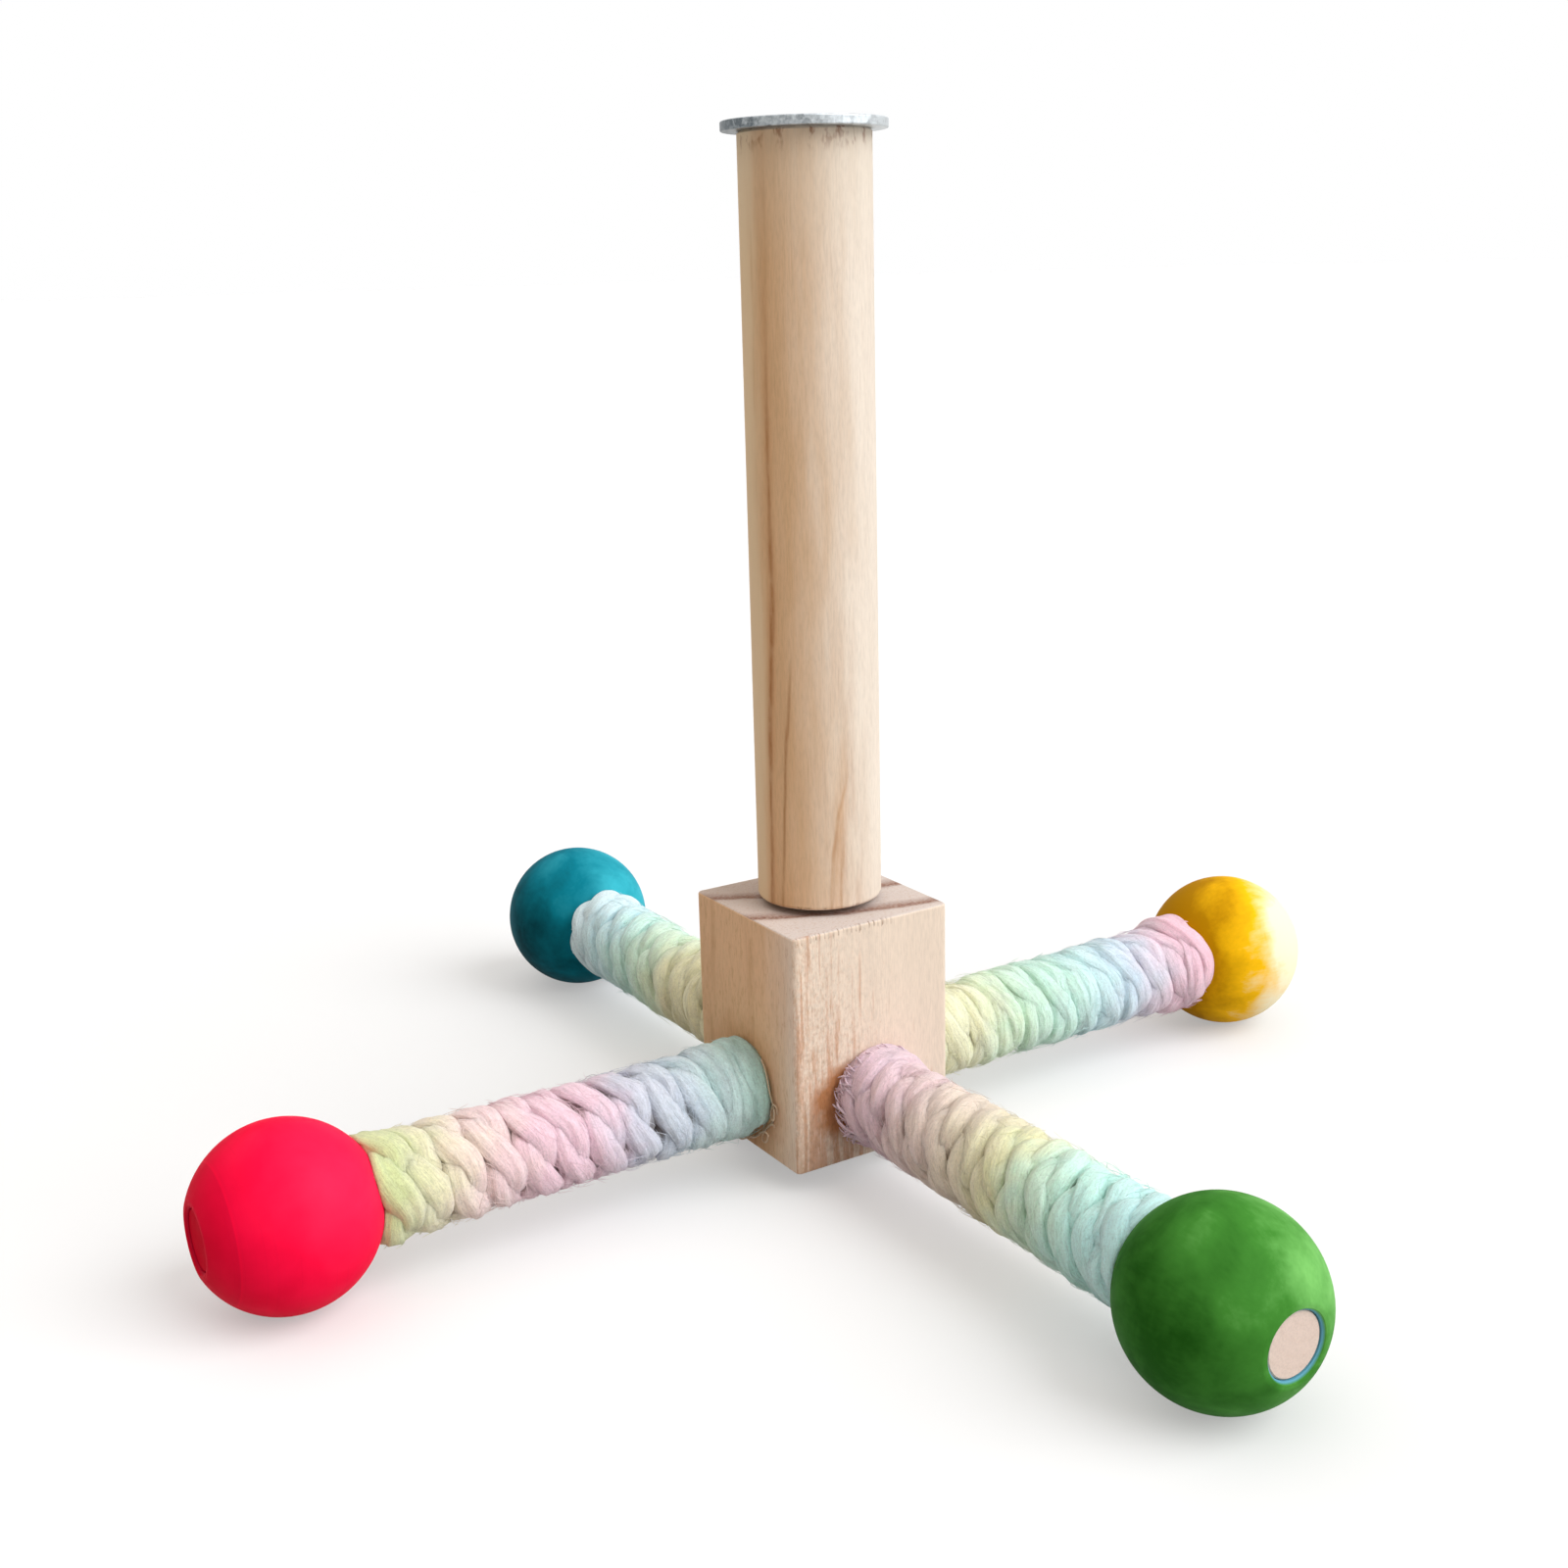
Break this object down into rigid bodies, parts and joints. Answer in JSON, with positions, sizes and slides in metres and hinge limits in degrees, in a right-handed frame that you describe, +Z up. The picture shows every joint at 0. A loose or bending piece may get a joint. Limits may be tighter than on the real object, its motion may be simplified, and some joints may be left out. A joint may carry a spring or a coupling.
{
  "type": "bird perch",
  "caption": "Swivelling bird cage perch: a wooden post over a square hub block that turns, with rope-wound arms set crosswise and a coloured bead on each end.",
  "frame": {"origin": "on the floor under the four beads, on the post's axis", "axes": "+Z up along the post, X and Y along the four arms"},
  "size_m": [0.262, 0.262, 0.2041],
  "materials": {
    "pine_post": "sanded raw pine, side grain",
    "pine_block": "sawn raw pine, end grain on top",
    "pine_dowel": "raw dowel",
    "zinc_washer": "galvanised",
    "zinc_insert": "zinc plated",
    "steel_screw": "zinc plated",
    "steel_washer": "zinc plated",
    "spacer": "dark nylon",
    "bead_right": "yellow water stain, satin",
    "bead_back": "teal blue water stain, satin",
    "bead_left": "red water stain, satin",
    "bead_front": "green water stain, satin",
    "rope_right": "soft twisted cotton dyed in pastel shades",
    "rope_back": "soft twisted cotton dyed in pastel shades",
    "rope_left": "soft twisted cotton dyed in pastel shades",
    "rope_front": "soft twisted cotton dyed in pastel shades"
  },
  "bodies": {
    "post_body": {"post": "pine_post", "top_washer": "zinc_washer", "top_insert": "zinc_insert", "pivot_screw": "steel_screw", "pivot_head_washer": "steel_washer", "pivot_spacer": "spacer"},
    "hub_body": {"hub_block": "pine_block", "arm_dowel_right": "pine_dowel", "rope_wrap_right": "rope_right", "end_bead_right": "bead_right", "arm_dowel_back": "pine_dowel", "rope_wrap_back": "rope_back", "end_bead_back": "bead_back", "arm_dowel_left": "pine_dowel", "rope_wrap_left": "rope_left", "end_bead_left": "bead_left", "arm_dowel_front": "pine_dowel", "rope_wrap_front": "rope_front", "end_bead_front": "bead_front"}
  },
  "joints": [
    {"name": "hub_spin", "type": "hinge", "parent": "post_body", "child": "hub_body", "pos_m": [0, 0, 0.03], "axis": [0, 0, 1], "continuous": true}
  ]
}
